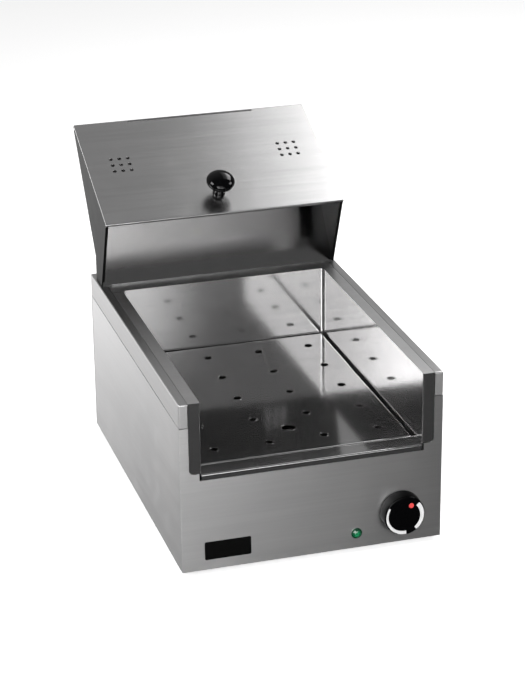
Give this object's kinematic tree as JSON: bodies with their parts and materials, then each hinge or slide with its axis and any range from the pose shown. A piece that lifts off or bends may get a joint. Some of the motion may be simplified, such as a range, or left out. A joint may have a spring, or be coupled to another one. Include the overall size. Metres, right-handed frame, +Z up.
{
  "type": "chip warmer",
  "caption": "Counter-top warmer with an open scoop well, a lift-out perforated plate, a hood with a hinged vented lid, and a thermostat knob with an indicator lamp.",
  "frame": {"origin": "centre of the bounding box at the level the feet rest on", "axes": "+X to the object's right as seen from the front, +Y from the front panel towards the back, +Z up"},
  "size_m": [0.285, 0.4922, 0.3537],
  "materials": {
    "stainless_sheet": "polished",
    "cheek_black": "satin",
    "hinge_steel": "satin",
    "screw_steel": "bright",
    "black_plastic": "gloss",
    "badge_black": "satin",
    "white_ink": "matte print",
    "red_dot": "matte print",
    "green_lens": "clear tinted",
    "lamp_plastic": "gloss",
    "foot_rubber": "matte",
    "element_sheath": "heat tinted",
    "insulation": "fibrous",
    "thermostat_plastic": "matte",
    "gland_plastic": "matte",
    "brass": "plain",
    "copper_bulb": "plain",
    "wire_insulation": "matte"
  },
  "bodies": {
    "cabinet": {"back_panel": "stainless_sheet", "back_panel_screws": "screw_steel", "badge_plate": "badge_black", "base_panel": "stainless_sheet", "base_screws": "screw_steel", "cable_gland": "gland_plastic", "clamp_nuts": "screw_steel", "clamp_studs": "screw_steel", "earth_nut": "brass", "earth_stud": "brass", "element_clamp_bars": "stainless_sheet", "element_terminals": "brass", "foot_screws": "screw_steel", "front_panel": "stainless_sheet", "gland_lock_nut": "gland_plastic", "heat_shield": "stainless_sheet", "heating_element": "element_sheath", "hinge_fixed_leaf": "hinge_steel", "hinge_pin": "hinge_steel", "hinge_rivets": "hinge_steel", "hood_back_panel": "stainless_sheet", "hood_foot_nuts": "screw_steel", "hood_foot_screws": "screw_steel", "hood_left_cheek": "cheek_black", "hood_right_cheek": "cheek_black", "insulation_pad": "insulation", "internal_wires": "wire_insulation", "left_side_panel": "stainless_sheet", "neon_body": "lamp_plastic", "neon_lens": "green_lens", "neon_spring_ring": "screw_steel", "right_side_panel": "stainless_sheet", "rubber_feet": "foot_rubber", "shield_nuts": "screw_steel", "terminal_block": "thermostat_plastic", "terminal_screws": "brass", "thermostat_body": "thermostat_plastic", "thermostat_bulb": "copper_bulb", "thermostat_bush": "brass", "thermostat_capillary": "copper_bulb", "thermostat_screws": "screw_steel", "thermostat_terminals": "brass", "top_frame": "stainless_sheet", "well_liner": "stainless_sheet"},
    "hood_lid": {"hood_lid": "stainless_sheet", "hinge_moving_leaf": "hinge_steel", "lid_knob": "black_plastic", "lid_knob_screw": "screw_steel"},
    "control_knob": {"control_knob": "black_plastic", "knob_scale_arcs": "white_ink", "knob_pointer_dot": "red_dot", "thermostat_shaft": "screw_steel"},
    "perforated_plate": {"perforated_plate": "stainless_sheet"}
  },
  "joints": [
    {"name": "lid_hinge", "type": "hinge", "parent": "cabinet", "child": "hood_lid", "pos_m": [0, 0.2439, 0.3515], "axis": [-1, 0, 0], "range_deg": [0, 120]},
    {"name": "thermostat_turn", "type": "hinge", "parent": "cabinet", "child": "control_knob", "pos_m": [0.0966, -0.2298, 0.0425], "axis": [0, 1, 0], "range_deg": [0, 270]},
    {"name": "plate_lift", "type": "slide", "parent": "cabinet", "child": "perforated_plate", "axis": [0, 0, 1], "range_m": [0, 0.11]}
  ]
}
